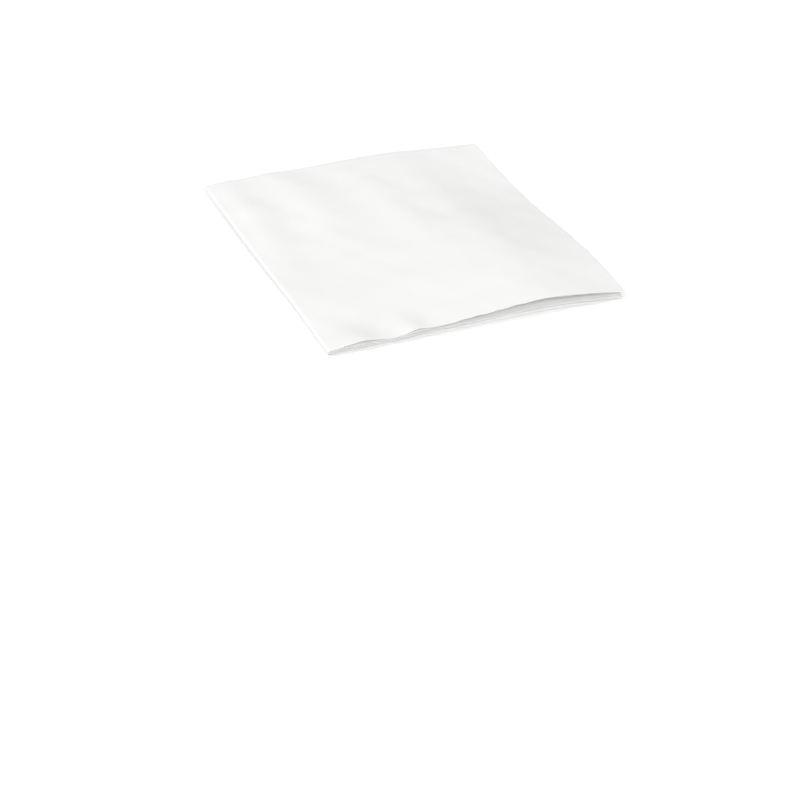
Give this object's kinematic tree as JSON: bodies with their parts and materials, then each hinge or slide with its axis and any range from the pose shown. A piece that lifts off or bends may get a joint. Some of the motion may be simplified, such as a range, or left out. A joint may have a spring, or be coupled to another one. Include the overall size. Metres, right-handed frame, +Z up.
{
  "type": "paper napkin",
  "caption": "White square tissue napkin folded in four, lying loose, with gentle waves and its open layers parting at one corner.",
  "frame": {"origin": "on the table, under the middle of the folded napkin's box", "axes": "+X across the napkin from the last fold to the open side, +Y from the open front edge to the first fold, +Z up"},
  "size_m": [0.1614, 0.162, 0.0106],
  "materials": {
    "tissue": "matt white, finely embossed"
  },
  "bodies": {
    "root": {"napkin": "tissue"}
  },
  "joints": []
}
